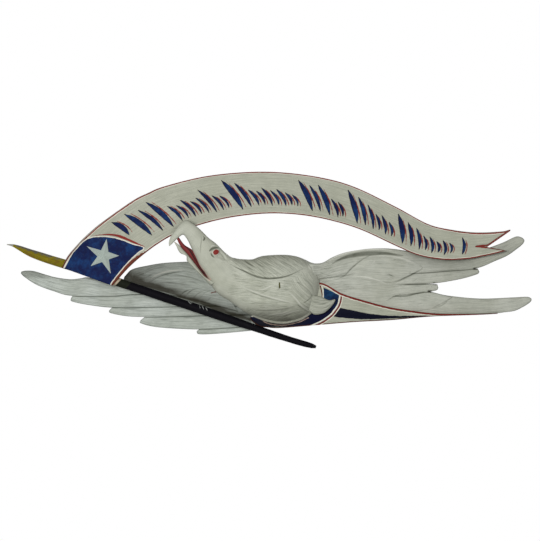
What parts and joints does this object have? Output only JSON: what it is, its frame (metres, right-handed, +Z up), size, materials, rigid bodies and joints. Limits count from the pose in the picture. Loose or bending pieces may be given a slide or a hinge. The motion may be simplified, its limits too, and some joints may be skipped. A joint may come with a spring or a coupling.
{
  "type": "pilot house eagle",
  "caption": "Painted wood carving of a spread-winged eagle with a flagstaff, an arched pennant and a striped shield, flat at the back so that it hangs on a wall.",
  "frame": {"origin": "the middle of the flat back of the eagle's body, on the wall", "axes": "+X along the wings to the viewer's right, +Y into the wall, +Z up"},
  "size_m": [1.2218, 0.094, 0.4101],
  "materials": {
    "white_paint": "aged off-white paint on carved wood, with dark grooves and worn, pale ridges",
    "banner_paint": "aged off-white paint with navy and red line painting",
    "shield_paint": "painted stripes in off-white, red and navy",
    "black_paint": "near-black paint on the staff, with a gilded spear point"
  },
  "bodies": {
    "root": {"eagle_body": "white_paint", "left_wing": "white_paint", "right_wing": "white_paint", "pennant": "banner_paint", "shield": "shield_paint", "flagstaff": "black_paint"}
  },
  "joints": []
}
